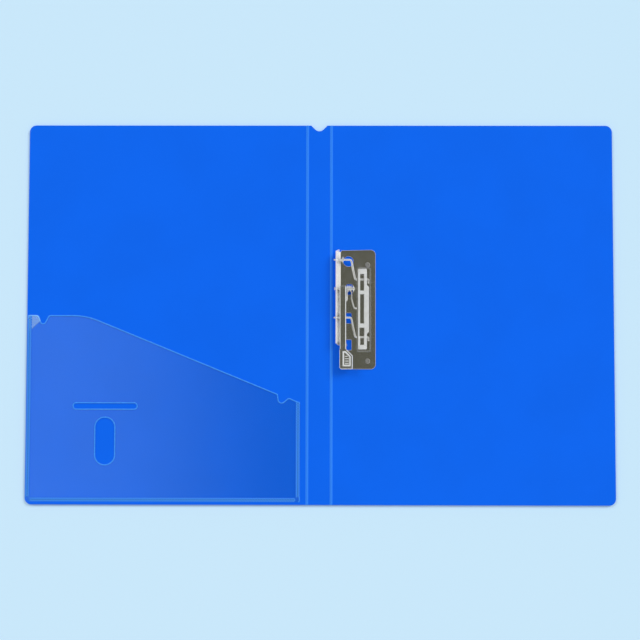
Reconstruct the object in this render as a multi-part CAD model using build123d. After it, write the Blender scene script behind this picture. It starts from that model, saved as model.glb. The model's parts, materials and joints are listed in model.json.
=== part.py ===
from build123d import *
import math
import os

# The part is a clip file folder: a hinged plastic cover, a film pocket and a lever clip.
# It lies open and flat, inside face up, with its clip shut. All sizes are in millimetres.
# +X runs across both covers, +Y up the page and +Z out of the inside face.

# Cover sheet
SHEET = 1.2
FOLDER_HEIGHT = 316.0
FRONT_WIDTH = 233.0
SPINE_WIDTH = 20.0
BACK_WIDTH = 235.0
COVER_CORNER = 5.5
LIP = 0.3
LIP_GAP = 0.05
CREASE_HALF = 1.0
NOTCH_DEPTH = 4.7
NOTCH_ARC = 5.0
NOTCH_HALF_ANGLE = 45.0

# Film pocket on the front cover
FILM = 0.3
FILM_AIR = 0.3
POCKET_LEFT = -242.7
POCKET_RIGHT = -16.6
POCKET_BOTTOM = -155.6
POCKET_TOP = -1.5
SHOULDER_TOP = -66.4
TAB_NOTCH = (-231.5, -9.9)
SHOULDER_NOTCH_LEFT = (-35.0, -76.6)
SHOULDER_NOTCH_RIGHT = (-26.6, -69.4)
SIDE_SEAM = 3.6
BOTTOM_SEAM = 3.8
CARD_SLOT_LENGTH = 52.4
CARD_SLOT_WIDTH = 4.5
CARD_SLOT_AT = (-178.2, -76.8)
THUMB_LENGTH = 38.6
THUMB_WIDTH = 15.8
THUMB_AT = (-178.2, -105.7)

# Clip base plate
PLATE = 0.8
PLATE_TOP = SHEET + PLATE
PLATE_LEFT = 17.0
PLATE_RIGHT = 46.0
PLATE_LOW = -46.0
PLATE_HIGH = 53.4
PLATE_CORNER = 4.0
FLANGE_LEAN = 20.0
FLANGE_TOP = 9.5
FLANGE_LOW = -26.5
FLANGE_BEVEL = 1.9
BEND_RADIUS = 1.6
EAR = 0.8
EAR_HALF = 2.6
EAR_RISE = 1.8
PIN_EAR_RISE = 2.4
CRANK_WINDOW_AT = (23.4, 43.6)
CRANK_WINDOW_RADIUS = 4.2
COIL_WINDOW_LOW = 15.8
COIL_WINDOW_HIGH = 24.6
LATCH_WINDOW_LEFT = 20.2
LATCH_WINDOW_LOW = -30.2
LATCH_WINDOW_HIGH = -21.7
WINDOW_RIGHT = 26.0
BEND_RELIEF = 1.8

# Pivots, all parallel to X
PIVOT_Z = 5.6
PIVOT_Y = 20.6
UPPER_CRANK_Y = 44.6
LOWER_CRANK_Y = -3.4
RUNNING = 0.07
INNER_EAR_X = 18.4
PIN_EAR_X = 26.9

# Crank wires and clamp bar
WIRE = 1.6
CRANK_REACH = 16.1
BAR_PIVOT_Z = 4.2
CRANK_TIP_X = 11.4
CRANK_ELBOW_X = 25.6
CRANK_FAR_ELBOW_X = 29.1
CRANK_HOOK_X = 40.1
CRANK_HOOK = 2.9
WIRE_BEND = 1.8
HOOK_BEND = 1.2
BAR_LEFT = 30.4
BAR_WIDTH = 11.45
BAR_LOW = -31.6
BAR_LENGTH = 70.0
BAR_BOTTOM = PLATE_TOP + 0.1
BAR_WALL = 0.8
BAR_RIM = 5.7
BAR_CORNER = 1.6
CAP_LEFT = 31.3
CAP_RIGHT = 40.3
CAP_RIGHT_ENDS = 38.6
CAP_LOW = -29.6
CAP_LENGTH = 66.7
CAP_TOP = 6.3
CAP_WIDE_LOW = -15.0
CAP_WIDE_LENGTH = 37.0
SLOT_LEFT = 33.0
SLOT_WIDTH = 3.3
SLOT_LOW = -26.0
SLOT_LENGTH = 58.8
SLOT_WIDE_LOW = -18.8
SLOT_WIDE_HIGH = -11.4
SLOT_WIDE_EXTRA = 0.6
BRIDGES = {17.6: 2.9, -9.9: 3.4}
BRIDGE_POST = 1.2
END_SQUARE = 3.4
END_SQUARE_RISE = 0.25

# Lever
LEVER_LEFT = 16.0
LEVER_WIDTH = 5.4
LEVER_WALL = 0.8
LEVER_TOP = 9.3
LEVER_WALL_LOW = 6.6
LEVER_EYE = 2.3
LEVER_EYE_LENGTH = 3.4
LEVER_ROOF_EDGE = 0.9
LATCH_TAB_LOW = -28.8
LATCH_TAB_HIGH = -23.2
LATCH_TAB_BOTTOM = 1.6
LATCH_NOSE = 0.9
LATCH_NOSE_Y = -26.0
LATCH_NOSE_BOTTOM = 2.6
LATCH_NOSE_TOP = 6.0
PAD_LEFT = 15.7
PAD_WIDTH = 11.1
PAD_HIGH = -29.4
PAD_LENGTH = 16.8
PAD_CHAMFER = 5.4
PAD_SKIRT = 1.9
PAD_BORDER = 0.4
PAD_BORDER_OUTER = 2.3
PAD_BORDER_INNER = 3.5
RIB_MARGIN = 4.1
RIB_FIRST = 4.6
RIB_PITCH = 1.9
RIB_WIDTH = 0.7
RIB_SHORTER = 1.3
RIB_COUNT = 6

# Pivot pin
PIN = 2.0
PIN_HEAD = 3.0
PIN_HEAD_X = 11.3
PIN_HEAD_LENGTH = 1.2
PIN_END_X = 27.8
PIN_END_RING = 0.35
PIN_END_RING_LENGTH = 0.7

# Clamp spring
SPRING_WIRE = 1.1
COIL_RADIUS = 2.1
COIL_PITCH = 1.55
COIL_TURNS = 2.5
COIL_START_X = 22.1
SPRING_TIP_X = 31.9
LEVER_LEG_Y = 10.6
LEVER_LEG_Z = 5.85
LEVER_LEG_END_X = 19.8
LEVER_LEG_BEND = 1.2
LEVER_LEG_CURVE_Y = 14.6
LEVER_LEG_CURVE = 4.0
BAR_LEG_CURVE_Y = 12.6
BAR_LEG_CURVE = 6.0
BAR_LEG_ELBOW_X = 28.2
BAR_LEG_BEND = 1.6

# Rivets: place, on the plate
RIVETS = {"upper": (39.4, 40.8), "lower": (39.4, -39.3), "lever": (21.6, -39.6)}
RIVET_SHANK = 1.6
RIVET_HEAD = 2.05
RIVET_HEAD_HEIGHT = 0.9
RIVET_DOME = 0.7
RIVET_FOOT = 3.5
RIVET_FOOT_DEPTH = 0.6
RIVET_PLAY = 0.03

# Places that follow from the sizes above
HALF_HEIGHT = FOLDER_HEIGHT / 2
HALF_TOTAL = (FRONT_WIDTH + SPINE_WIDTH + BACK_WIDTH) / 2
FRONT_CREASE = -HALF_TOTAL + FRONT_WIDTH
BACK_CREASE = HALF_TOTAL - BACK_WIDTH
SPINE_MIDDLE = (FRONT_CREASE + BACK_CREASE) / 2
FILM_LOW = SHEET + FILM_AIR


def block(x0, x1, y0, y1, z0, z1):
    """A box between two corners."""
    return Pos(x0, y0, z0) * Box(x1 - x0, y1 - y0, z1 - z0, align=Align.MIN)


def upright(radius, x, y, z0, z1):
    """A cylinder along Z."""
    return Pos(x, y, z0) * Cylinder(radius, z1 - z0, align=(Align.CENTER, Align.CENTER, Align.MIN))


def rod(radius, x0, x1, y, z):
    """A cylinder along X."""
    return Pos(x0, y, z) * Rot(0, 90, 0) * upright(radius, 0, 0, 0, x1 - x0)


def slab(points, radii, z0, z1):
    """A plate with the given corners, each rounded by its own radius."""
    face = make_face(Polyline(*points, close=True))
    for point, radius in zip(points, radii):
        if radius:
            corner = face.vertices().sort_by_distance(Vector(*point))[0]
            face = fillet(corner, radius)
    return extrude(Pos(0, 0, z0) * face, z1 - z0)


def rounded_block(x0, x1, y0, y1, z0, z1, radius):
    """A box with rounded upright edges."""
    corners = [(x0, y0), (x1, y0), (x1, y1), (x0, y1)]
    return slab(corners, [radius] * 4, z0, z1)


def round_ended(at, length, width, along_x, z0, z1):
    """A plug with half-round ends."""
    turn = 0 if along_x else 90
    return extrude(Pos(at[0], at[1], z0) * Rot(0, 0, turn) * SlotOverall(length, width), z1 - z0)


def bent_path(points, radii):
    """Straight runs through the points, joined by tangent arcs of the given radii."""
    points = [Vector(*p) for p in points]
    edges = []
    start = points[0]
    for before, corner, after, radius in zip(points, points[1:], points[2:], radii):
        inward = (corner - before).normalized()
        outward = (after - corner).normalized()
        cut = radius * math.tan(math.radians(inward.get_angle(outward)) / 2)
        first = corner - inward * cut
        last = corner + outward * cut
        edges.append(Edge.make_line(start, first))
        edges.append(Edge.make_tangent_arc(first, inward, last))
        start = last
    edges.append(Edge.make_line(start, points[-1]))
    return edges


def swept_wire(edges, diameter):
    """A round wire along a chain of tangent edges."""
    path = Wire(edges)
    section = Plane(path @ 0, z_dir=path % 0) * Circle(diameter / 2)
    return sweep(section, path)


def front_cover():
    """The front cover panel with the thin lip of its living hinge."""
    inner = FRONT_CREASE - CREASE_HALF
    corners = [
        (-HALF_TOTAL, -HALF_HEIGHT),
        (inner, -HALF_HEIGHT),
        (inner, HALF_HEIGHT),
        (-HALF_TOTAL, HALF_HEIGHT),
    ]
    panel = slab(corners, [COVER_CORNER, 0, 0, COVER_CORNER], 0, SHEET)
    return panel + block(inner, FRONT_CREASE - LIP_GAP, -HALF_HEIGHT, HALF_HEIGHT, 0, LIP)


def spine_panel():
    """The spine strip, with a hinge lip on both sides and the notch at its top edge."""
    left = FRONT_CREASE + CREASE_HALF
    right = BACK_CREASE - CREASE_HALF
    strip = block(left, right, -HALF_HEIGHT, HALF_HEIGHT, 0, SHEET)
    strip += block(FRONT_CREASE + LIP_GAP, left, -HALF_HEIGHT, HALF_HEIGHT, 0, LIP)
    strip += block(right, BACK_CREASE - LIP_GAP, -HALF_HEIGHT, HALF_HEIGHT, 0, LIP)
    angle = math.radians(NOTCH_HALF_ANGLE)
    half_chord = NOTCH_ARC * math.sin(angle)
    chord_depth = NOTCH_DEPTH - NOTCH_ARC * (1 - math.cos(angle))
    above = 2.0
    mouth = half_chord + (chord_depth + above) / math.tan(angle)
    left_end = (-half_chord, -chord_depth)
    right_end = (half_chord, -chord_depth)
    outline = [
        Polyline(left_end, (-mouth, above), (mouth, above), right_end),
        ThreePointArc(left_end, (0, -NOTCH_DEPTH), right_end),
    ]
    notch = extrude(Pos(SPINE_MIDDLE, HALF_HEIGHT, -1) * make_face(outline), SHEET + 2)
    return strip - notch


def back_cover():
    """The back cover panel, with its hinge lip and the rivet holes and their outside seats."""
    inner = BACK_CREASE + CREASE_HALF
    corners = [
        (inner, -HALF_HEIGHT),
        (HALF_TOTAL, -HALF_HEIGHT),
        (HALF_TOTAL, HALF_HEIGHT),
        (inner, HALF_HEIGHT),
    ]
    panel = slab(corners, [0, COVER_CORNER, COVER_CORNER, 0], 0, SHEET)
    panel += block(BACK_CREASE + LIP_GAP, inner, -HALF_HEIGHT, HALF_HEIGHT, 0, LIP)
    for x, y in RIVETS.values():
        panel -= upright(RIVET_SHANK + RIVET_PLAY, x, y, -SHEET, 2 * SHEET)
        panel -= upright(RIVET_FOOT + RIVET_PLAY, x, y, -SHEET, RIVET_FOOT_DEPTH)
    return panel


def pocket_outline():
    """Corners of the film pocket and their radii, anticlockwise from its lower left corner."""
    return [
        ((POCKET_LEFT, POCKET_BOTTOM), 3.5),
        ((POCKET_RIGHT, POCKET_BOTTOM), 2.0),
        ((POCKET_RIGHT, SHOULDER_TOP - 8.0), 0.6),
        ((POCKET_RIGHT - 3.0, SHOULDER_TOP - 7.2), 1.5),
        (SHOULDER_NOTCH_RIGHT, 1.6),
        (SHOULDER_NOTCH_LEFT, 2.0),
        ((SHOULDER_NOTCH_LEFT[0] - 0.8, SHOULDER_TOP), 1.0),
        ((POCKET_LEFT + 48.1, POCKET_TOP), 55.0),
        ((POCKET_LEFT + 18.3, POCKET_TOP), 1.6),
        (TAB_NOTCH, 1.6),
        ((POCKET_LEFT + 7.3, POCKET_TOP), 2.2),
        ((POCKET_LEFT, POCKET_TOP), 1.6),
    ]


def pocket_sheet():
    """The clear film pocket, welded down along its left, bottom and right edges."""
    outline = pocket_outline()
    points = [point for point, radius in outline]
    radii = [radius for point, radius in outline]
    film = slab(points, radii, FILM_LOW, FILM_LOW + FILM)
    under = slab(points, radii, SHEET, FILM_LOW)
    inside_left = POCKET_LEFT + SIDE_SEAM
    inside_right = POCKET_RIGHT - SIDE_SEAM
    inside_low = POCKET_BOTTOM + BOTTOM_SEAM
    inside = block(inside_left, inside_right, inside_low, HALF_HEIGHT, 0, FILM_LOW)
    pocket = film + (under - inside)
    pocket -= round_ended(CARD_SLOT_AT, CARD_SLOT_LENGTH, CARD_SLOT_WIDTH, True, SHEET, 2 * FILM_LOW)
    pocket -= round_ended(THUMB_AT, THUMB_LENGTH, THUMB_WIDTH, False, SHEET, 2 * FILM_LOW)
    return pocket


def flange():
    """The leaning bearing wall along the left edge of the base plate, with its bend."""
    lean = math.radians(FLANGE_LEAN)
    middle = SHEET + PLATE / 2
    vertex_x = PLATE_LEFT - BEND_RADIUS * math.tan((math.pi / 2 - lean) / 2)
    rise = FLANGE_TOP - middle
    top_x = vertex_x - rise * math.tan(lean)
    profile = [(PLATE_LEFT + PLATE / 2, 0, middle), (vertex_x, 0, middle), (top_x, 0, FLANGE_TOP)]
    path = Wire(bent_path(profile, [BEND_RADIUS]))
    section = Plane(path @ 0, x_dir=(0, 1, 0), z_dir=path % 0) * Rectangle(PLATE_HIGH - FLANGE_LOW, PLATE)
    wall = Pos(0, (PLATE_HIGH + FLANGE_LOW) / 2, 0) * sweep(section, path)
    bevel_foot = PLATE_TOP + BEND_RADIUS
    above = 2 * FLANGE_TOP
    for end, side in ((PLATE_HIGH, -1), (FLANGE_LOW, 1)):
        slant_top = end + side * FLANGE_BEVEL
        corners = [
            (end - side, above),
            (end - side, bevel_foot),
            (end, bevel_foot),
            (slant_top, FLANGE_TOP + 0.5),
            (slant_top, above),
        ]
        wall -= extrude(Plane.YZ * make_face(Polyline(*corners, close=True)), PLATE_RIGHT)
    return wall


def ear(x, y, top):
    """A round-topped bearing ear that stands on the base plate."""
    foot = block(x, x + EAR, y - EAR_HALF, y + EAR_HALF, SHEET, top - EAR_HALF)
    return foot + rod(EAR_HALF, x, x + EAR, y, top - EAR_HALF)


def plate_windows():
    """The windows lanced or cut through the base plate."""
    low = SHEET - 1
    high = PLATE_TOP + 1
    lever_right = LEVER_LEFT + LEVER_WIDTH
    inner_ear_right = INNER_EAR_X + EAR
    crank_low = LOWER_CRANK_Y - 4.6
    crank_high = LOWER_CRANK_Y + 4.0
    return [
        upright(CRANK_WINDOW_RADIUS, *CRANK_WINDOW_AT, low, high),
        rounded_block(lever_right + 0.2, PIN_EAR_X, COIL_WINDOW_LOW, COIL_WINDOW_HIGH, low, high, 1.6),
        rounded_block(inner_ear_right, WINDOW_RIGHT, crank_low, crank_high, low, high, 0.8),
        rounded_block(LATCH_WINDOW_LEFT, WINDOW_RIGHT, LATCH_WINDOW_LOW, LATCH_WINDOW_HIGH, low, high, 0.8),
    ]


def clip_base_plate():
    """The riveted base plate with its windows, leaning flange and bearing ears."""
    corners = [
        (PLATE_LEFT, PLATE_LOW),
        (PLATE_RIGHT, PLATE_LOW),
        (PLATE_RIGHT, PLATE_HIGH),
        (PLATE_LEFT, PLATE_HIGH - 0.6),
    ]
    plate = slab(corners, [PLATE_CORNER / 2, PLATE_CORNER, PLATE_CORNER, 0], SHEET, PLATE_TOP)
    for window in plate_windows():
        plate -= window
    plate += flange()
    relief_low = PLATE_HIGH - BEND_RELIEF
    plate -= block(PLATE_LEFT - 0.9, PLATE_LEFT + 0.5, relief_low, PLATE_HIGH + 1, 0, FLANGE_TOP / 3)
    plate += ear(INNER_EAR_X, UPPER_CRANK_Y, PIVOT_Z + EAR_RISE)
    plate += ear(INNER_EAR_X, LOWER_CRANK_Y, PIVOT_Z + EAR_RISE)
    plate += ear(PIN_EAR_X, PIVOT_Y, PIVOT_Z + PIN_EAR_RISE)
    for y in (UPPER_CRANK_Y, LOWER_CRANK_Y):
        plate -= rod(WIRE / 2 + RUNNING, CRANK_TIP_X, CRANK_ELBOW_X, y, PIVOT_Z)
    plate -= rod(PIN / 2 + RUNNING, CRANK_TIP_X, PLATE_RIGHT, PIVOT_Y, PIVOT_Z)
    for x, y in RIVETS.values():
        plate -= upright(RIVET_SHANK + RIVET_PLAY, x, y, 0, 2 * PLATE_TOP)
    return plate


def crank_wire(y):
    """A crank: pivot run, slanting arm, run through the clamp bar and a retaining hook."""
    far_y = y - CRANK_REACH
    points = [
        (CRANK_TIP_X, y, PIVOT_Z),
        (CRANK_ELBOW_X, y, PIVOT_Z),
        (CRANK_FAR_ELBOW_X, far_y, BAR_PIVOT_Z),
        (CRANK_HOOK_X, far_y, BAR_PIVOT_Z),
        (CRANK_HOOK_X, far_y - CRANK_HOOK, BAR_PIVOT_Z),
    ]
    return swept_wire(bent_path(points, [WIRE_BEND, WIRE_BEND, HOOK_BEND]), WIRE)


def bar_bores():
    """The holes that the crank wires and the spring tip take through the bar."""
    outside = BAR_LEFT - 1
    bores = []
    for y in (UPPER_CRANK_Y, LOWER_CRANK_Y):
        bores.append(rod(WIRE / 2 + RUNNING, outside, CAP_RIGHT_ENDS + 1, y - CRANK_REACH, BAR_PIVOT_Z))
    bores.append(rod(SPRING_WIRE / 2 + RUNNING, outside, SLOT_LEFT, PIVOT_Y - CRANK_REACH, BAR_PIVOT_Z))
    return bores


def clamp_bar():
    """The pressed tray of the clamp bar."""
    right = BAR_LEFT + BAR_WIDTH
    high = BAR_LOW + BAR_LENGTH
    tray = rounded_block(BAR_LEFT, right, BAR_LOW, high, BAR_BOTTOM, BAR_RIM, BAR_CORNER)
    tray -= rounded_block(
        BAR_LEFT + BAR_WALL,
        right - BAR_WALL,
        BAR_LOW + BAR_WALL,
        high - BAR_WALL,
        BAR_BOTTOM + BAR_WALL,
        BAR_RIM + 1,
        BAR_CORNER - BAR_WALL,
    )
    for bore in bar_bores():
        tray -= bore
    return tray


def cap_corners(margin):
    """Outline of the bar's cap, drawn in by a margin: narrow at both ends, wide between them."""
    left = CAP_LEFT + margin
    wide = CAP_RIGHT - margin
    narrow = CAP_RIGHT_ENDS - margin
    low = CAP_LOW + margin
    high = CAP_LOW + CAP_LENGTH - margin
    step = CAP_RIGHT - CAP_RIGHT_ENDS
    wide_low = CAP_WIDE_LOW + margin
    wide_high = CAP_WIDE_LOW + CAP_WIDE_LENGTH - margin
    return [
        (left, low),
        (narrow, low),
        (narrow, wide_low - step),
        (wide, wide_low),
        (wide, wide_high),
        (narrow, wide_high + step),
        (narrow, high),
        (left, high),
    ]


def clamp_bar_cap():
    """The slotted cap that stands inside the tray and closes it over the crank wires."""
    floor = BAR_BOTTOM + BAR_WALL
    roof_low = CAP_TOP - BAR_WALL
    cap = slab(cap_corners(0), [1.0, 1.0, 0, 0, 0, 0, 1.0, 1.0], floor, CAP_TOP)
    cap -= slab(cap_corners(BAR_WALL), [0] * 8, floor - 1, roof_low)
    slot_high = SLOT_LOW + SLOT_LENGTH
    slot_right = SLOT_LEFT + SLOT_WIDTH
    left = SLOT_LEFT - SLOT_WIDE_EXTRA
    right = slot_right + SLOT_WIDE_EXTRA
    cap -= block(SLOT_LEFT, slot_right, SLOT_LOW, slot_high, floor, CAP_TOP + 1)
    cap -= block(left, slot_right + 0.2, SLOT_WIDE_LOW, SLOT_WIDE_HIGH, floor, CAP_TOP + 1)
    for y, length in BRIDGES.items():
        cap += block(left, right, y - length / 2, y + length / 2, roof_low, CAP_TOP)
        cap += upright(BRIDGE_POST, SLOT_LEFT + SLOT_WIDTH / 2, y, floor, roof_low)
    for low in (SLOT_LOW - END_SQUARE, slot_high):
        cap += block(left, right, low, low + END_SQUARE, CAP_TOP, CAP_TOP + END_SQUARE_RISE)
    for bore in bar_bores():
        cap -= bore
    return cap


def lever_pad():
    """The finger pad: a skirted plate with a raised border and plain grip ribs."""
    right = PAD_LEFT + PAD_WIDTH
    low = PAD_HIGH - PAD_LENGTH
    chamfer_x = right - PAD_CHAMFER

    def outline(margin):
        """The pad's outline, drawn in by a margin."""
        slope = margin * math.tan(math.radians(22.5))
        return [
            (PAD_LEFT + margin, low + margin),
            (right - margin, low + margin),
            (right - margin, PAD_HIGH - PAD_CHAMFER - slope),
            (chamfer_x - slope, PAD_HIGH - margin),
            (PAD_LEFT + margin, PAD_HIGH - margin),
        ]

    underside = LEVER_TOP - LEVER_WALL
    pad = slab(outline(0), [2.0, 0.9, 0.9, 0, 0], LEVER_TOP - PAD_SKIRT, LEVER_TOP)
    pad -= slab(outline(LEVER_WALL), [1.2, 0, 0, 0, 0], 0, underside)
    border_top = LEVER_TOP + PAD_BORDER
    border = slab(outline(PAD_BORDER_OUTER), [0.8, 0.8, 0.6, 0.6, 0.6], LEVER_TOP, border_top)
    border -= slab(outline(PAD_BORDER_INNER), [0.3, 0.3, 0.2, 0.2, 0.2], LEVER_TOP, border_top)
    pad += border
    for i in range(RIB_COUNT):
        y = low + RIB_FIRST + i * RIB_PITCH
        shorter = RIB_SHORTER if i == RIB_COUNT - 1 else 0
        rib_right = right - RIB_MARGIN - shorter
        rib_top = LEVER_TOP + PAD_BORDER / 2
        pad += block(PAD_LEFT + RIB_MARGIN, rib_right, y, y + RIB_WIDTH, LEVER_TOP, rib_top)
    return pad


def lever():
    """The lever: an inverted channel on the pivot pin, with a latch tab and a finger pad."""
    right = LEVER_LEFT + LEVER_WIDTH
    inner_left = LEVER_LEFT + LEVER_WALL
    inner_right = right - LEVER_WALL
    roof_low = LEVER_TOP - LEVER_WALL
    into_wall = LEVER_WALL_LOW + 0.5
    eye_low = PIVOT_Y - LEVER_EYE
    top_end = PIVOT_Y + LEVER_EYE - 0.3
    channel = block(LEVER_LEFT, right, PAD_HIGH, top_end, LEVER_WALL_LOW, LEVER_TOP)
    roof_edges = channel.edges().filter_by(Axis.Y).group_by(Axis.Z)[-1]
    channel = fillet(roof_edges, LEVER_ROOF_EDGE)
    channel -= block(inner_left, inner_right, PAD_HIGH - 1, top_end + 1, 0, roof_low)
    body = channel + lever_pad()
    body -= block(inner_left, inner_right, PAD_HIGH - 2, PAD_HIGH + 2, 0, roof_low)
    for x in (LEVER_LEFT, inner_right):
        body += rod(LEVER_EYE, x, x + LEVER_WALL, PIVOT_Y, PIVOT_Z)
        body += block(x, x + LEVER_WALL, eye_low, top_end - 0.1, PIVOT_Z, into_wall)
        web = [
            (eye_low + 0.1, PIVOT_Z - 0.5),
            (PIVOT_Y, into_wall),
            (eye_low - LEVER_EYE_LENGTH, into_wall),
            (eye_low - LEVER_EYE_LENGTH, LEVER_WALL_LOW),
        ]
        body += extrude(Plane.YZ.offset(x) * make_face(Polyline(*web, close=True)), LEVER_WALL)
    body += block(inner_right, right, LATCH_TAB_LOW, LATCH_TAB_HIGH, LATCH_TAB_BOTTOM, into_wall)
    nose = upright(LATCH_NOSE, right - 0.1, LATCH_NOSE_Y, LATCH_NOSE_BOTTOM, LATCH_NOSE_TOP)
    body += nose - block(LEVER_LEFT, inner_right, LATCH_TAB_LOW, LATCH_TAB_HIGH, 0, LEVER_WALL_LOW)
    body -= rod(PIN / 2 + RUNNING, CRANK_TIP_X, PLATE_RIGHT, PIVOT_Y, PIVOT_Z)
    return body


def pivot_pin():
    """The loose headed pin that carries the lever and the spring."""
    pin = rod(PIN / 2, PIN_HEAD_X, PIN_END_X, PIVOT_Y, PIVOT_Z)
    pin += rod(PIN_HEAD / 2, PIN_HEAD_X, PIN_HEAD_X + PIN_HEAD_LENGTH, PIVOT_Y, PIVOT_Z)
    return pin + rod(PIN / 2 + PIN_END_RING, PIN_END_X, PIN_END_X + PIN_END_RING_LENGTH, PIVOT_Y, PIVOT_Z)


def coil_point(turn):
    """Centre of the coil's wire, a number of turns on from its top: over, down and back under."""
    angle = math.pi / 2 - 2 * math.pi * turn
    y = PIVOT_Y + COIL_RADIUS * math.cos(angle)
    z = PIVOT_Z + COIL_RADIUS * math.sin(angle)
    return Vector(COIL_START_X + COIL_PITCH * turn, y, z)


def coil_way(turn):
    """Direction of the coil's wire there."""
    angle = math.pi / 2 - 2 * math.pi * turn
    around = 2 * math.pi * COIL_RADIUS
    return Vector(COIL_PITCH, around * math.sin(angle), -around * math.cos(angle)).normalized()


def biarc(start, start_way, end, end_way):
    """Two arcs, tangent to each other and to the given directions at their ends."""
    span = end - start
    a = 2 * (1 - start_way.dot(end_way))
    b = 2 * span.dot(start_way + end_way)
    reach = (-b + math.sqrt(b * b + 4 * a * span.dot(span))) / (2 * a)
    left = start + start_way * reach
    right = end - end_way * reach
    middle = (left + right) * 0.5
    middle_way = (right - left).normalized()
    return [Edge.make_tangent_arc(start, start_way, middle), Edge.make_tangent_arc(middle, middle_way, end)]


def clamp_spring():
    """The torsion spring: a leg under the lever's wall, the coil on its pin, a leg into the bar."""
    steps = int(COIL_TURNS * 4)
    points = [coil_point(i / 4) for i in range(steps + 1)]
    ways = [coil_way(i / 4) for i in range(steps + 1)]
    ways[0] = Vector(0, 1, 0)
    ways[-1] = Vector(0, -1, 0)
    start = points[0]
    end = points[-1]
    lever_leg = [
        (LEVER_LEG_END_X, LEVER_LEG_Y, LEVER_LEG_Z),
        (start.X, LEVER_LEG_Y, LEVER_LEG_Z),
        (start.X, LEVER_LEG_CURVE_Y, start.Z),
        tuple(start),
    ]
    bar_y = PIVOT_Y - CRANK_REACH
    bar_leg = [
        tuple(end),
        (end.X, BAR_LEG_CURVE_Y, end.Z),
        (BAR_LEG_ELBOW_X, bar_y, BAR_PIVOT_Z),
        (SPRING_TIP_X, bar_y, BAR_PIVOT_Z),
    ]
    edges = bent_path(lever_leg, [LEVER_LEG_BEND, LEVER_LEG_CURVE])
    for i in range(steps):
        edges += biarc(points[i], ways[i], points[i + 1], ways[i + 1])
    edges += bent_path(bar_leg, [BAR_LEG_CURVE, BAR_LEG_BEND])
    print("least gap between the spring's turns:", round(coil_gap(), 2), "mm")
    return swept_wire(edges, SPRING_WIRE)


def coil_gap():
    """Least gap between the coil's turns, measured on points along its helix."""
    count = 120
    turns = [COIL_TURNS * i / count for i in range(count + 1)]
    points = [coil_point(turn) for turn in turns]
    gap = math.inf
    for i, p in enumerate(points):
        for j in range(i + 1, count + 1):
            if turns[j] - turns[i] > 0.5:
                gap = min(gap, (p - points[j]).length - SPRING_WIRE)
    return gap


def rivet(x, y):
    """A rivet: a broad foot let into the cover's outside, a shank and a domed head."""
    foot = upright(RIVET_FOOT, x, y, LIP_GAP, RIVET_FOOT_DEPTH)
    shank = upright(RIVET_SHANK, x, y, RIVET_FOOT_DEPTH, PLATE_TOP)
    head = upright(RIVET_HEAD, x, y, PLATE_TOP, PLATE_TOP + RIVET_HEAD_HEIGHT)
    head = fillet(head.edges().group_by(Axis.Z)[-1], RIVET_DOME)
    return foot + shank + head


def sub_parts():
    """Every sub-part by its node name."""
    nodes = {
        "front_cover": front_cover(),
        "spine_panel": spine_panel(),
        "back_cover": back_cover(),
        "pocket_sheet": pocket_sheet(),
        "clip_base_plate": clip_base_plate(),
        "upper_crank_wire": crank_wire(UPPER_CRANK_Y),
        "lower_crank_wire": crank_wire(LOWER_CRANK_Y),
        "clamp_bar": clamp_bar(),
        "clamp_bar_cap": clamp_bar_cap(),
        "clamp_spring": clamp_spring(),
        "lever": lever(),
        "pivot_pin": pivot_pin(),
    }
    for name, (x, y) in RIVETS.items():
        nodes[name + "_rivet"] = rivet(x, y)
    return nodes


os.makedirs("parts", exist_ok=True)
for node, solid in sub_parts().items():
    export_step(solid, "parts/" + node + ".step")
    size = solid.bounding_box().size
    print(node, round(size.X, 2), round(size.Y, 2), round(size.Z, 2), "solids:", len(solid.solids()))
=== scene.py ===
import bmesh
import bpy
import json
import math
import numpy as np
from bpy.props import FloatProperty, FloatVectorProperty, PointerProperty
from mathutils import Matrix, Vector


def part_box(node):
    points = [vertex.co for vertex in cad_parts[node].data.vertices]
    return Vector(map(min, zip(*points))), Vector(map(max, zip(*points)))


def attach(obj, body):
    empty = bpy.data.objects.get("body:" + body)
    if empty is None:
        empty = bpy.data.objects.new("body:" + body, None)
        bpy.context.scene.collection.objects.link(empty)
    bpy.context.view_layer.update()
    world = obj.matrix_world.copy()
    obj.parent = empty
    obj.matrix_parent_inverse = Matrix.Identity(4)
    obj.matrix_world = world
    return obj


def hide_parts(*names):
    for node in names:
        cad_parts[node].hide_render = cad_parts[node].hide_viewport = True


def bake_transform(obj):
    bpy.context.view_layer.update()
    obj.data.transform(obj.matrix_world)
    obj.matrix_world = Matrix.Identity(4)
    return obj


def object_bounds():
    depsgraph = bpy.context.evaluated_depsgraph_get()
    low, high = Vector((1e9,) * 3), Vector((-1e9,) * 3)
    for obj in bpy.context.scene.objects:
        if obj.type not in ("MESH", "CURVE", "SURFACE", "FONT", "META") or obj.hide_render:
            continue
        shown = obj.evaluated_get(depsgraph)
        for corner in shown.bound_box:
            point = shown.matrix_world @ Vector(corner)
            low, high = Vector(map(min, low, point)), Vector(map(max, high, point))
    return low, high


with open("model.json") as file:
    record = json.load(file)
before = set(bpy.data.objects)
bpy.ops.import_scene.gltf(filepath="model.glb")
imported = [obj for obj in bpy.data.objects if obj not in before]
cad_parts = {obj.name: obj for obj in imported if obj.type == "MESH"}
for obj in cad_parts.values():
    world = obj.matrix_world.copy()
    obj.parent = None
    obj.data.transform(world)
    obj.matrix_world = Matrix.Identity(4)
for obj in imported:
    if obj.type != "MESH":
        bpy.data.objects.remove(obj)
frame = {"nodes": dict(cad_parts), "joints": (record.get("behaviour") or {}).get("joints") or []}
CAD_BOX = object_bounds()

bl_info = {
    "name": "Clip File Folder",
    "version": (1, 0, 0),
    "blender": (4, 5, 0),
    "location": "View3D > Sidebar > Folder",
    "description": "Dresses a clip file folder: creases, film pocket, welds, spring, wires and finishes",
    "category": "Object",
}

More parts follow.
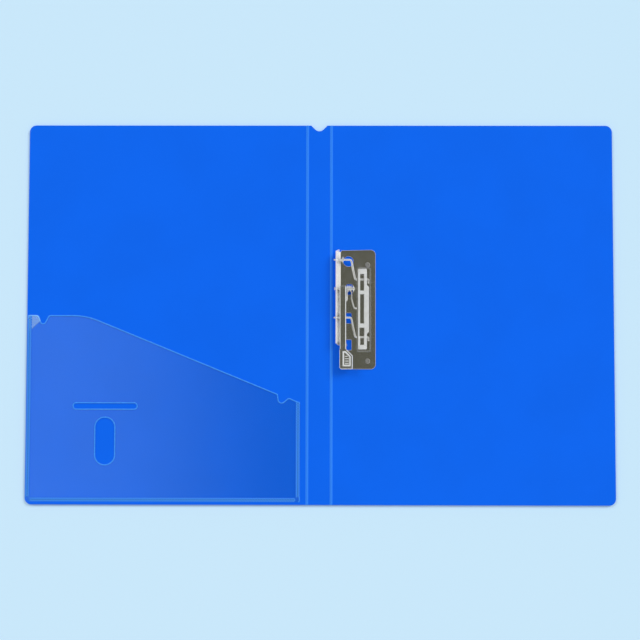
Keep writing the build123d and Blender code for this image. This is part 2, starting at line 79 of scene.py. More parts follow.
MM = 0.001
COVER_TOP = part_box("front_cover")[1].z
HALF_HEIGHT = CAD_BOX[1].y

# Meshes
ARC_STEPS = 8
CAP_STEPS = 4
CAP_HEIGHT = 0.5
CAP_END_RING = 0.02
TUBE_SIDES = 20
TURNED_SIDES = 48
BEVEL_STEPS = 3
UP = np.array([0.0, 0.0, 1.0])
MERGE_WITHIN = 1e-7
FLAT_WITHIN = math.radians(1)
SHARP_FROM = math.radians(35)
SMOOTH_UP_TO = math.radians(40)

# Crease beads, whose foot fills the groove between two panels. They wander by size, run and start
CREASES = {joint["name"]: joint["pos_m"][0] for joint in frame["joints"] if joint["name"].endswith("_fold")}
CREASE_BEAD_AT = 0.3 * MM
CREASE_FOOT_HALF = 0.98 * MM
CREASE_FOOT_SIDE = 0.33 * MM
CREASE_FOOT_MIDDLE = 0.31 * MM
CREASE_SUNK = 0.05 * MM
CREASE_END_GAP = 0.03 * MM
CREASE_ROWS = 160
CREASE_COLUMNS = 25
CREASE_WANDER = [(0.03 * MM, 0.021, 0), (0.02 * MM, 0.0077, 1)]

# Film pocket outline in mm: its upper edge from left to right, with the radius of each corner
POCKET_LEFT = -243.5
POCKET_RIGHT = -16.6
POCKET_BOTTOM = -155.6
POCKET_TOP = -1.5
FREE_EDGE = [
    (POCKET_LEFT, -4.0),
    (POCKET_LEFT, POCKET_TOP),
    (-234.6, POCKET_TOP),
    (-230.9, -11.2),
    (-225.9, POCKET_TOP),
    (-194.6, POCKET_TOP),
    (-35.1, -66.7),
    (-33.9, -76.2),
    (-26.0, -69.7),
    (-19.6, -72.6),
    (POCKET_RIGHT, -73.5),
    (POCKET_RIGHT, -74.7),
]
FREE_EDGE_RADII = [1.6, 2.2, 2.0, 3.0, 55.0, 1.2, 2.6, 1.8, 1.5, 0.6]
BOTTOM_CORNER_RADII = (3.5, 1.2)
CORNER_EDGE_UP_TO = POCKET_BOTTOM + 4.2
CORNER_EDGE_FROM = -18.2

# Slots in the film: middle x, middle y, width and height in mm
CARD_SLOT = (-178.2, -76.8, 52.4, 4.5)
THUMB_WINDOW = (-178.2, -105.7, 15.8, 38.6)
SLOT_END_STEPS = 12
SLOT_SIDES = 64
SLOT_BESIDE = 0.01
SLOT_ROUNDING = 1e-3

# Film grid: its columns, closer together at its corners, and the rows of its three strips
FILM_COLUMN_STEP = 2.5
LEFT_CORNER_COLUMNS = POCKET_LEFT + np.array([0, 0.1, 0.4, 0.9, 1.6, 2.4, 3.4])
RIGHT_CORNER_COLUMNS = POCKET_RIGHT - np.array([0.1, 0.5, 1, 2])
FILM_ROWS = (14, 10, 24)

# Height of the film in mm, and of the bead along its cut edges
WELDED_FILM = 0.28
FILM_RISE = 0.14
FILM_RISE_RUN = 9
WAVE_RISE = 0.07
WAVE_RUN = 17
WAVE_BEND = 1.3
WAVE_BEND_RUN = 31
CROSS_WAVE_RISE = 0.05
CROSS_WAVE_RUN = 13
CROSS_WAVE_LEAN = 41
EDGE_BEAD_STEPS = 9
EDGE_BEAD_RISE = 0.05
EDGE_BEAD_DROP = 0.25
EDGE_BEAD_LIP = 0.05

# Weld bands, in mm
LEFT_WELD_X = -241.9
RIGHT_WELD_X = -18.4
BOTTOM_WELD_Y = -153.9
SIDE_WELD_START = POCKET_BOTTOM + 4.0
LEFT_WELD_END = POCKET_TOP - 0.3
RIGHT_WELD_END = -73.7
BOTTOM_WELD_START = POCKET_LEFT + 3.6
BOTTOM_WELD_END = -20.4
WELD_HALF = 1.9
WELD_SWING = 1.25
WELD_STRAND = 0.44
WELD_PIT = 0.6
WELD_BASE = 0.03
WELD_FOOT = 0.02
WELD_FADE = 0.3
WELD_LEAST_SHINE = 0.4
WELD_ROWS_PER_LOOP = 10
WELD_COLUMNS = 21

# Clip places and sizes in mm, the same as the solids'. A rib is its y and its right end
FLANGE_FOOT = 17.0
PAD_LEFT = 15.7
PAD_RIGHT = 26.8
PAD_HIGH = -29.4
PAD_LOW = -46.2
PAD_CHAMFER = 5.4
PAD_TOP = 9.3
PAD_SKIRT = 1.9
PAD_RADII = np.array([2.0, 0.9, 0.9, 0.3, 0.3])
PAD_LEAST_RADIUS = 0.25
PAD_EDGE = 0.8
PAD_EDGE_STEPS = 8
PAD_WALL = 0.7
PAD_LINE_AT = 2.85
PAD_LINE_WIDTH = 1.2
PAD_LINE_RISE = 0.4
PAD_LINE_STEPS = 11
PAD_LINE_SHIFT = (0.45, 0.4)
RIB_LEFT = 20.3
RIB_RADIUS = 0.38
RIBS = [(-41.2, 23.3), (-39.3, 23.3), (-37.4, 23.3), (-35.5, 22.3)]
CHANNEL_OVERLAP = 1.0
PIVOT_Y = 20.6
PIVOT_Z = 5.6
CRANK_YS = {"upper_crank": 44.6, "lower_crank": -3.4}
CRANK_REACH = 16.1
CRANK_START_X = 11.4
CRANK_ARM_XS = (25.6, 29.1)
CRANK_END_X = 40.1
CRANK_HOOK = 2.9
CRANK_RADII = [1.8, 1.8, 1.2]
BAR_PIVOT_Z = 4.2
WIRE_RADIUS = 0.8
SPRING_RADIUS = 0.55
COIL_RADIUS = 2.1
COIL_PITCH = 1.55
COIL_TURNS = 2.5
COIL_SIDES = 48
COIL_START_X = 22.1
LEVER_LEG_END = (19.8, 10.6, 5.85)
LEVER_LEG_FROM_Y = 14.6
LEVER_LEG_RADII = [1.2, 4.0]
BAR_LEG_FROM_Y = 12.6
BAR_LEG_XS = (28.2, 31.9)
BAR_LEG_RADII = [6.0, 1.6]

# Profiles of turned pieces: place along the axis and radius in mm
PIN_PROFILE = [(11.3, 0.0), (11.3, 1.1), (11.65, 1.5), (12.2, 1.5), (12.5, 1.35), (12.5, 1.0),
               (27.8, 1.0), (27.8, 1.2), (28.0, 1.35), (28.3, 1.35), (28.5, 1.1), (28.5, 0.0)]
RIVET_PROFILE = [(0.05, 0.0), (0.05, 2.9), (0.15, 3.35), (0.35, 3.5), (0.6, 3.5), (0.6, 1.6), (2.0, 1.6),
                 (2.0, 2.0), (2.3, 2.05), (2.55, 1.98), (2.68, 1.75), (2.72, 1.3), (2.72, 1.05), (2.58, 0.9),
                 (2.5, 0.75), (2.48, 0.0)]
RIVET_PLACES = {"upper_rivet": (39.4, 40.8), "lower_rivet": (39.4, -39.3), "lever_rivet": (21.6, -39.6)}

# Finishes: tones, roughness of each steel, and how dense the film's haze is
# Painted highlight: the paler blue that the sheet's cut edges are painted with
EDGE_HIGHLIGHT_BLUE = (0.02, 0.2, 0.9, 1)
# Painted reflections: the glare on the corner of the film's left tab, and on the film's edge there
FILM_GLARE = (0.33, 0.62, 1, 1)
FILM_EDGE_GLARE = (0.2, 0.5, 1, 1)
# Painted reflection: the pale tone painted on the plate's leaning flange
PAINTED_FLANGE_TONE = (1, 0.975, 0.95, 1)
PLATE_ROUGHNESS = 0.13
LEVER_ROUGHNESS = 0.15
WIRE_ROUGHNESS = 0.14
RIVET_ROUGHNESS = 0.24
CAP_ROUGHNESS = 0.6
# Painted reflection on the leaning flange: left of its foot the plate is painted pale and made rougher and
# less metallic
PAINTED_FLANGE_BORDER = 0.1
PAINTED_FLANGE_ROUGHER = 0.15
PAINTED_FLANGE_LESS_METAL = 0.6
PAINTED_FLANGE_COVER = 0.8
# The film's haze grows denser towards the spine, where its painted shade is darker
HAZE_LEFT = 0.035
HAZE_MORE_RIGHT = 0.022
HAZE_CLOUD = 0.008
HAZE_FLECK = 0.012
HAZE_GLARE = 0.33

# The painted glare on the corner of the film's left tab lies above the line y = slope x + height in metres
GLARE_SLOPE = 0.94
GLARE_HEIGHTS = (0.2120, 0.2136)

# Stage: lamps with their share of the light and their tilt in degrees, floor, surround and camera
LAMPS = {"left_lamp": (0.35, -42), "right_lamp": (0.65, 42)}
LAMP_LEAN = -32
LAMP_WIDTH = 30
FLOOR_HALF = 4.0
FLOOR_LEVEL = -0.8 * MM
FLOOR_TOUCH = 3 * MM
LEFT_WALL = (0.62, 0.64, 0.65, 1)
RIGHT_WALL = (0.97, 1.0, 1.0, 1)
WALL_CHANGE = (-0.5, 0.3)
CEILING = (0.094, 0.094, 0.071, 1)
CEILING_FROM = (0.86, 0.97)
CAMERA_PLACE = (3.5 * MM, -42.5 * MM, 832.1 * MM)
CAMERA_TURN = (2.57, 0.25, 0.10)


class FolderColours(bpy.types.PropertyGroup):
    """Colours of the folder's finishes."""

    cover: FloatVectorProperty(
        name="Cover", description="Blue of the plastic sheet", subtype="COLOR",
        default=(0.001, 0.13, 0.865), min=0, max=1)
    # Crease blue: partly the stress whitening of the thinned sheet, partly a painted highlight, paler all
    # over so that the bead's lit flank shows bright
    crease: FloatVectorProperty(
        name="Crease", description="Paler blue where the sheet is thinned and stretched", subtype="COLOR",
        default=(0.03, 0.235, 0.95), min=0, max=1)
    # Painted light and shade of the film's haze: a pale tone on the left, a dark one beside the spine
    film_lit: FloatVectorProperty(
        name="Film, left side", subtype="COLOR",
        description="Haze of the clear film where it catches the light",
        default=(0.43, 0.72, 0.45), min=0, max=1)
    film_shaded: FloatVectorProperty(
        name="Film, right side", description="Haze of the clear film beside the spine", subtype="COLOR",
        default=(0.02, 0.07, 0.02), min=0, max=1)
    # Painted highlight: the bright blue of the film's cut edge
    film_edge: FloatVectorProperty(
        name="Film edge", description="Bright cut edge of the film", subtype="COLOR",
        default=(0.04, 0.29, 1.0), min=0, max=1)
    # Painted highlight: the bright tone of the weld strands
    weld: FloatVectorProperty(
        name="Weld", description="Bright strands of the welds", subtype="COLOR",
        default=(0.11, 0.47, 1.0), min=0, max=1)
    nickel: FloatVectorProperty(
        name="Nickel", description="Nickel-plated pressed steel", subtype="COLOR",
        default=(0.86, 0.86, 0.85), min=0, max=1)
    satin: FloatVectorProperty(
        name="Satin nickel", description="Tumbled nickel of the clamp bar's cap", subtype="COLOR",
        default=(0.97, 0.96, 0.94), min=0, max=1)
    rivet: FloatVectorProperty(
        name="Rivet", description="Darker plating of the rivets", subtype="COLOR",
        default=(0.4, 0.39, 0.38), min=0, max=1)
    wire: FloatVectorProperty(
        name="Wire", description="Bright plated wire", subtype="COLOR",
        default=(0.86, 0.85, 0.83), min=0, max=1)
    floor: FloatVectorProperty(
        name="Floor", description="Pale floor", subtype="COLOR",
        default=(0.591, 0.813, 0.972), min=0, max=1)


class FolderSizes(bpy.types.PropertyGroup):
    """Sizes of the details that the clip and the cover are dressed with."""

    crease_half: FloatProperty(
        name="Crease half width", description="Half the width of a hinge bead", unit="LENGTH",
        default=1.05 * MM, min=0)
    crease_rise: FloatProperty(
        name="Crease rise", description="How far a hinge bead stands over the sheet", unit="LENGTH",
        default=0.45 * MM, min=0)
    film_thickness: FloatProperty(
        name="Film thickness", description="Thickness of the pocket film", unit="LENGTH",
        default=0.2 * MM, min=0)
    edge_bead: FloatProperty(
        name="Film edge width", description="Width of the bright cut edge of the film", unit="LENGTH",
        default=0.9 * MM, min=0)
    weld_pitch: FloatProperty(
        name="Weld pitch", description="Distance from one weld loop to the next", unit="LENGTH",
        default=2.2 * MM, min=0.1 * MM)
    weld_width: FloatProperty(
        name="Weld width", description="Width of a weld band", unit="LENGTH",
        default=3.5 * MM, min=0.1 * MM)
    weld_rise: FloatProperty(
        name="Weld rise", description="Height of a weld strand", unit="LENGTH",
        default=0.14 * MM, min=0)
    edge_round: FloatProperty(
        name="Pressed edge", description="Rounding of the edges of pressed steel", unit="LENGTH",
        default=0.2 * MM, min=0)


class FolderStage(bpy.types.PropertyGroup):
    """Lamps and camera."""

    sun_strength: FloatProperty(
        name="Sun", description="Strength of the two soft lamps together", default=2.2, min=0)
    sky_strength: FloatProperty(
        name="Sky", description="Strength of the even light all round", default=0.55, min=0)
    focal_length: FloatProperty(
        name="Focal length", description="Camera lens in mm", default=56.25, min=1)


def smoothstep(value, low, high):
    """0 below low, 1 above high and 3t^2 - 2t^3 between them."""
    t = np.clip((value - low) / (high - low), 0, 1)
    return t * t * (3 - 2 * t)


def unit(vectors):
    """Vectors scaled to length 1."""
    return vectors / np.linalg.norm(vectors, axis=-1, keepdims=True)


def corner_arcs(before, corner, after, radii):
    """An arc at each corner: start + r (a sin t + n (1 - cos t)), with a the way in, and n at right angles to
    it in the plane of the bend. The start lies r tan(bend / 2) before the corner."""
    way_in = unit(corner - before)
    way_out = unit(after - corner)
    bend = np.arccos(np.clip((way_in * way_out).sum(-1, keepdims=True), -1, 1))
    across = unit(way_out - way_in * np.cos(bend))
    radii = np.array(radii, float)[:, None]
    start = corner - way_in * radii * np.tan(bend / 2)
    t = (bend * np.linspace(0, 1, ARC_STEPS + 1))[..., None]
    way_in, across, start, radii = [part[:, None, :] for part in (way_in, across, start, radii)]
    return start + radii * (way_in * np.sin(t) + across * (1 - np.cos(t)))


def rounded_path(points, radii, run_step):
    """A path in mm through the given corners, each rounded by its own radius, with its straight runs divided
    evenly into steps no longer than run_step."""
    points = np.array(points, float)
    arcs = corner_arcs(points[:-2], points[1:-1], points[2:], radii)
    stops = np.vstack([points[:1], arcs.reshape(-1, points.shape[1]), points[-1:]])
    lengths = np.linalg.norm(np.diff(stops, axis=0), axis=1)
    counts = np.maximum(1, np.ceil(lengths / run_step)).astype(int)
    index = np.repeat(np.arange(len(lengths)), counts)
    share = (np.arange(counts.sum()) - np.repeat(np.cumsum(counts) - counts, counts)) / counts[index]
    path = stops[index] + (stops[index + 1] - stops[index]) * share[:, None]
    return np.vstack([path, stops[-1:]])


def rounded_loop(corners, radii):
    """A closed outline in mm with its corners rounded."""
    corners = np.array(corners, float)
    arcs = corner_arcs(np.roll(corners, 1, 0), corners, np.roll(corners, -1, 0), radii)
    return arcs.reshape(-1, 2)


def surface(name, grid, wrap_rows=False, open_start=False, values=None):
    """A mesh from a grid of points in metres, closed round its columns. Its ends are closed by a fan to their
    middle, or joined to each other where wrap_rows is set. The values are numbers kept with its points."""
    rows, columns = grid.shape[:2]
    points = grid.reshape(-1, 3)
    r = np.arange(rows if wrap_rows else rows - 1)[:, None]
    c = np.arange(columns)[None, :]
    next_r = (r + 1) % rows
    next_c = (c + 1) % columns
    near = r * columns
    far = next_r * columns
    quads = np.stack([near + c, near + next_c, far + next_c, far + c], -1)
    faces = quads.reshape(-1, 4).tolist()
    if not wrap_rows:
        first = len(points)
        points = np.vstack([points, grid[0].mean(0), grid[-1].mean(0)])
        ring = np.arange(columns)
        end = (rows - 1) * columns
        if not open_start:
            faces += np.stack([np.full(columns, first), np.roll(ring, -1), ring], -1).tolist()
        faces += np.stack([np.full(columns, first + 1), end + ring, end + np.roll(ring, -1)], -1).tolist()
    mesh = bpy.data.meshes.new(name)
    mesh.from_pydata(points.tolist(), [], faces)
    for word, value in (values or {}).items():
        kept = np.zeros(len(points))
        kept[:value.size] = value.ravel()
        mesh.attributes.new(word, "FLOAT", "POINT").data.foreach_set("value", kept)
    return merged_object(name, mesh)


def linked(name, data):
    """A new object of the given data, in the scene."""
    made = bpy.data.objects.new(name, data)
    bpy.context.scene.collection.objects.link(made)
    return made


def merged_object(name, mesh):
    """An object of a mesh whose doubled points are merged, with its faces turned outwards and shaded smooth
    up to the angle of an edge."""
    work = bmesh.new()
    work.from_mesh(mesh)
    bmesh.ops.remove_doubles(work, verts=work.verts, dist=MERGE_WITHIN)
    lone = [corner for corner in work.verts if not corner.link_faces]
    bmesh.ops.delete(work, geom=lone, context="VERTS")
    bmesh.ops.recalc_face_normals(work, faces=work.faces)
    work.to_mesh(mesh)
    work.free()
    mesh.polygons.foreach_set("use_smooth", np.ones(len(mesh.polygons), bool))
    mesh.set_sharp_from_angle(angle=SMOOTH_UP_TO)
    return linked(name, mesh)


def merged_copy(node, name, cut_below=None):
    """A mesh with the shape of a CAD node, its loose triangles merged into whole faces, and its sharp outer
    edges marked for the bevel. What lies below a place on Y in mm may be cut off."""
    mesh = frame["nodes"][node].data.copy()
    mesh.name = name
    work = bmesh.new()
    work.from_mesh(mesh)
    bmesh.ops.remove_doubles(work, verts=work.verts, dist=MERGE_WITHIN)
    bmesh.ops.dissolve_limit(
        work, angle_limit=FLAT_WITHIN, verts=work.verts, edges=work.edges, delimit={"NORMAL"})
    if cut_below is not None:
        whole_shape = work.verts[:] + work.edges[:] + work.faces[:]
        bmesh.ops.bisect_plane(
            work, geom=whole_shape, plane_co=(0, cut_below * MM, 0), plane_no=(0, -1, 0), clear_outer=True)
        bmesh.ops.holes_fill(work, edges=[edge for edge in work.edges if edge.is_boundary])
    weight = work.edges.layers.float.new("bevel_weight_edge")
    for edge in work.edges:
        edge[weight] = float(edge.is_manifold and edge.is_convex and edge.calc_face_angle() > SHARP_FROM)
    work.to_mesh(mesh)
    work.free()
    mesh.materials.clear()
    return mesh


def pressed_piece(node, name, body, material, edge_round, cut_below=None):
    """A CAD node's shape with the softly rounded edges of pressed steel."""
    piece = merged_object(name, merged_copy(node, name, cut_below))
    bevel = piece.modifiers.new("Pressed edges", "BEVEL")
    bevel.width = edge_round
    bevel.segments = BEVEL_STEPS
    bevel.limit_method = "WEIGHT"
    bevel.use_clamp_overlap = False
    even = piece.modifiers.new("Even shading", "WEIGHTED_NORMAL")
    even.keep_sharp = True
    dress(piece, body, material)
    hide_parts(node)


def tube(name, path, radius, guide):
    """A round tube along a path in mm: each ring is centre + radius (n cos t + b sin t), with n at right
    angles to the path and to the guide. Its ends are low domes, CAP_HEIGHT of the radius high, each down to
    a small ring that the surface closes."""
    ways = unit(np.gradient(path, axis=0))
    end_turn = np.linspace(0, math.pi / 2, CAP_STEPS + 1)[1:]
    cap_start = path[0] - ways[0] * radius * np.sin(end_turn[::-1, None]) * CAP_HEIGHT
    cap_end = path[-1] + ways[-1] * radius * np.sin(end_turn[:, None]) * CAP_HEIGHT
    radii = np.concatenate([np.cos(end_turn[::-1]), np.ones(len(path)), np.cos(end_turn)]) * radius
    radii = np.maximum(radii, radius * CAP_END_RING)[:, None, None]
    centres = np.vstack([cap_start, path, cap_end])[:, None, :]
    guides = np.broadcast_to(guide, path.shape)
    n = unit(np.cross(ways, guides))
    b = np.cross(ways, n)
    n, b = [
        np.vstack([np.repeat(part[:1], CAP_STEPS, 0), part, np.repeat(part[-1:], CAP_STEPS, 0)])[:, None, :]
        for part in (n, b)
    ]
    t = np.linspace(0, 2 * math.pi, TUBE_SIDES, endpoint=False)[None, :, None]
    return surface(name, (centres + radii * (n * np.cos(t) + b * np.sin(t))) * MM)


def turned(name, profile, centre, axis):
    """A turned shape: a profile of (place along the axis, radius) in mm, carried once round the axis."""
    along, radius = np.array(profile, float).T
    t = np.linspace(0, 2 * math.pi, TURNED_SIDES, endpoint=False)
    across = {"X": ((0, 1, 0), (0, 0, 1)), "Z": ((1, 0, 0), (0, 1, 0))}[axis]
    forward = np.array({"X": (1, 0, 0), "Z": (0, 0, 1)}[axis], float)
    ring = np.cos(t)[:, None] * np.array(across[0], float) + np.sin(t)[:, None] * np.array(across[1], float)
    grid = np.array(centre, float) + along[:, None, None] * forward + radius[:, None, None] * ring
    return surface(name, grid * MM)


def dress(piece, body, material):
    """Gives a piece its body and its material."""
    piece.data.materials.clear()
    piece.data.materials.append(material)
    if body:
        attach(piece, body)


class Level:
    """A node's output that takes part in sums: each operator adds a Math node."""

    def __init__(self, paint, socket):
        self.paint = paint
        self.socket = socket

    def __add__(self, other):
        return self.paint.maths("ADD", self, other)

    def __radd__(self, other):
        return self.paint.maths("ADD", other, self)

    def __sub__(self, other):
        return self.paint.maths("SUBTRACT", self, other)

    def __rsub__(self, other):
        return self.paint.maths("SUBTRACT", other, self)

    def __mul__(self, other):
        return self.paint.maths("MULTIPLY", self, other)

    def __rmul__(self, other):
        return self.paint.maths("MULTIPLY", other, self)

    def __abs__(self):
        return self.paint.maths("ABSOLUTE", self)


class Paint:
    """The node tree of a material or of the world, and the methods that build it."""

    def __init__(self, owner):
        owner.use_nodes = True
        self.owner = owner
        self.tree = owner.node_tree
        self.tree.nodes.clear()

    def node(self, kind, settings=None, values=None, output=0):
        """Adds a node of any kind, with its settings first and then its socket values or links."""
        made = self.tree.nodes.new(kind)
        for name, value in (settings or {}).items():
            setattr(made, name, value)
        for name, value in (values or {}).items():
            if isinstance(value, Level):
                self.tree.links.new(value.socket, made.inputs[name])
            else:
                made.inputs[name].default_value = value
        if isinstance(output, tuple):
            return [Level(self, made.outputs[name]) for name in output]
        return Level(self, made.outputs[output]) if len(made.outputs) else None

    def maths(self, operation, *values):
        """A Math node on values or links."""
        return self.node("ShaderNodeMath", {"operation": operation}, dict(enumerate(values)))

    def step(self, value, low, high):
        """0 below low and 1 above high, smooth between them."""
        return self.node(
            "ShaderNodeMapRange", {"interpolation_type": "SMOOTHSTEP"},
            {"Value": value, "From Min": low, "From Max": high})

    def mix(self, factor, a, b):
        """A colour between two colours."""
        return self.node("ShaderNodeMix", {"data_type": "RGBA"}, {0: factor, 6: a, 7: b}, output=2)

    def noise(self, size, scale=(1, 1, 1), detail=2.0, roughness=0.5):
        """Noise on Object coordinates whose grains are of the given size in metres. A small scale along an
        axis draws them out along it."""
        here = self.node("ShaderNodeTexCoord", output="Object")
        place = self.node("ShaderNodeMapping", {}, {"Vector": here, "Scale": scale})
        return self.node(
            "ShaderNodeTexNoise", {},
            {"Vector": place, "Scale": 1 / size, "Detail": detail, "Roughness": roughness})

    def axis(self, name, kind="Object"):
        """The X, Y or Z of one kind of texture coordinate."""
        vector = self.node("ShaderNodeTexCoord", output=kind)
        return self.node("ShaderNodeSeparateXYZ", {}, {0: vector}, output=name)

    def bump(self, height, distance, strength, under=None):
        """A Bump node whose distance is in metres, on top of another one where one is given."""
        values = {"Height": height, "Distance": distance, "Strength": strength}
        if under:
            values["Normal"] = under
        return self.node("ShaderNodeBump", {}, values)

    def shader(self, values):
        """A Principled shader as the material's surface."""
        made = self.node("ShaderNodeBsdfPrincipled", {}, values)
        self.node("ShaderNodeOutputMaterial", {}, {"Surface": made})


def new_paint(name):
    """A new material and its node tree."""
    return Paint(bpy.data.materials.new(name))


def whole(colour, shade=1.0):
    """A colour property as RGBA, darkened or lightened by a shade."""
    return tuple(min(1.0, channel * shade) for channel in colour) + (1.0,)


def cover_plastic(name, colour, clouding):
    """Extruded blue plastic sheet: a fine sanded grain, faint clouding of the pigment, light scuffs from
    handling, and cut edges painted paler as a highlight, where rounded edges would catch the light."""
    paint = new_paint(name)
    cloud = paint.step(paint.noise(0.06, detail=3), 0.3, 0.7)
    speck = paint.noise(0.0006, detail=2)
    # Painted highlight: upright faces, the sheet's cut edges, are painted paler blue
    painted_edge_highlight = 1 - paint.step(abs(paint.axis("Z", "Normal")), 0.3, 0.7)
    tone = paint.mix(cloud * clouding, whole(colour, 0.97), whole(colour, 1.03))
    tone = paint.mix(paint.step(speck, 0.35, 0.75) * 0.16, tone, whole(colour, 1.3))
    tone = paint.mix(painted_edge_highlight * 0.35, tone, EDGE_HIGHLIGHT_BLUE)
    scuff = paint.step(paint.noise(0.004, (1, 0.06, 1), detail=3), 0.62, 0.78)
    haze = paint.step(paint.noise(0.09), 0.35, 0.7)
    grain = paint.noise(0.0007, detail=3, roughness=0.6)
    sag = paint.noise(0.09, detail=1)
    normal = paint.bump(sag, 0.0008, 0.2)
    normal = paint.bump(grain, 0.00009, 0.8, under=normal)
    paint.shader({
        "Base Color": tone,
        "Roughness": 0.4 + haze * 0.06 - scuff * 0.07,
        "Specular IOR Level": 0.12,
        "Normal": normal,
    })
    return paint.owner


def painted_glare_corner(paint):
    """1 on the corner of the left tab, above a slanting line, where the real film lies clear of the sheet:
    the mask of the glare painted on the film and on its edge.
    """
    return paint.step(paint.axis("Y") - GLARE_SLOPE * paint.axis("X"), *GLARE_HEIGHTS)


def film_finish(name, lit, shaded):
    """Clear soft film with fine flecks. Its haze carries painted light and shade, paler on the left and
    darker towards the spine, and a painted glare on the corner of the left tab, which on the real film is
    lifted."""
    paint = new_paint(name)
    across = paint.step(paint.axis("X"), POCKET_LEFT * MM, POCKET_RIGHT * MM)
    cloud = paint.noise(0.045)
    fleck = paint.step(paint.noise(0.0011), 0.66, 0.8)
    glare = painted_glare_corner(paint) * (0.75 + 0.5 * paint.noise(0.004))
    # Painted light and shade: the haze is paler on the left and darker towards the spine
    tone = paint.mix(across, whole(lit), whole(shaded))
    # Painted reflection: a pale glare on the corner of the left tab
    tone = paint.mix(painted_glare_corner(paint), tone, FILM_GLARE)
    grain = paint.noise(0.0009)
    haze = HAZE_LEFT + across * HAZE_MORE_RIGHT + cloud * HAZE_CLOUD
    paint.shader({
        "Base Color": tone,
        "Alpha": haze + fleck * HAZE_FLECK + glare * HAZE_GLARE,
        "Roughness": 0.14 + cloud * 0.1,
        "Specular IOR Level": 0.8,
        "Normal": paint.bump(grain, 0.00002, 0.3),
    })
    return paint.owner


def weld_finish(name, cover, bright):
    """Film melted on to the sheet, by the weld's own pattern: raised strands painted bright as a highlight,
    and pits painted dark as shade.
    """
    paint = new_paint(name)
    shine = paint.node("ShaderNodeAttribute", {"attribute_name": "weld_shine"}, output="Fac")
    pit = paint.node("ShaderNodeAttribute", {"attribute_name": "weld_pit_painted_shade"}, output="Fac")
    # Painted highlight on the strands and painted shade in the pits
    tone = paint.mix(paint.step(shine, 0.2, 0.8), whole(cover, 0.85), whole(bright))
    tone = paint.mix(paint.step(pit, 0.2, 0.7), tone, whole(cover, 0.45))
    grain = paint.noise(0.0004)
    paint.shader({
        "Base Color": tone,
        "Roughness": 0.3 + grain * 0.12,
        "Specular IOR Level": 0.2,
        "Normal": paint.bump(grain, 0.00003, 0.4),
    })
    return paint.owner


def film_edge_finish(name, colour):
    """The cut edge of the film, painted bright as a highlight, brightest with the painted glare on the corner
    of the left tab.
    """
    paint = new_paint(name)
    grain = paint.noise(0.0015, detail=2)
    tone = paint.mix(grain, whole(colour, 0.85), whole(colour, 1.15))
    paint.shader({
        "Base Color": paint.mix(painted_glare_corner(paint), tone, FILM_EDGE_GLARE),
        "Roughness": 0.22 + grain * 0.1,
        "Normal": paint.bump(grain, 0.00003, 0.3),
    })
    return paint.owner


def steel_finish(name, colour, roughness, along_y, painted_reflection_left_of=None):
    """Plated steel: rolling marks along the metal, slight tarnish in patches, and fine handling scratches.
    Left of a place on X in mm it may carry a painted reflection, pale, rougher and less metallic, as the
    plate's leaning flange does."""
    paint = new_paint(name)
    stretch = (1, 0.03, 1) if along_y else (0.03, 1, 1)
    rolled = paint.noise(0.0005, stretch, detail=3)
    patch = paint.step(paint.noise(0.006, detail=3), 0.35, 0.75)
    fine = paint.noise(0.0003, detail=2)
    scratch = paint.step(paint.noise(0.0009, (1, 0.12, 1), detail=4, roughness=0.65), 0.66, 0.74)
    tone = paint.mix(patch * 0.5, whole(colour, 1.06), whole(colour, 0.84))
    tone = paint.mix(scratch * 0.2, tone, whole(colour, 1.25))
    rough = roughness + patch * 0.08 + rolled * 0.05 + scratch * 0.08
    metal = 1.0
    # Painted reflection: left of the given place the steel is painted pale, rougher and less metallic
    if painted_reflection_left_of is not None:
        border = (painted_reflection_left_of - PAINTED_FLANGE_BORDER) * MM, (painted_reflection_left_of + PAINTED_FLANGE_BORDER) * MM
        satin = 1 - paint.step(paint.axis("X"), *border)
        rough = rough + satin * PAINTED_FLANGE_ROUGHER
        metal = 1 - satin * PAINTED_FLANGE_LESS_METAL
        tone = paint.mix(satin * PAINTED_FLANGE_COVER, tone, PAINTED_FLANGE_TONE)
    normal = paint.bump(rolled, 0.00002, 0.25)
    normal = paint.bump(fine, 0.00001, 0.2, under=normal)
    paint.shader({
        "Base Color": tone,
        "Metallic": metal,
        "Roughness": rough,
        "Normal": normal,
    })
    return paint.owner


class FOLDER_OT_covers(bpy.types.Operator):
    """Dresses the three cover panels as one blue plastic sheet"""

    bl_idname = "folder.covers"
    bl_label = "Cover panels"

    def execute(self, context):
        colours = context.scene.folder_colours
        plastic = cover_plastic("cover_sheet", colours.cover, 0.8)
        for node in ("front_cover", "spine_panel", "back_cover"):
            for slot in frame["nodes"][node].material_slots:
                slot.material = plastic
        return {"FINISHED"}


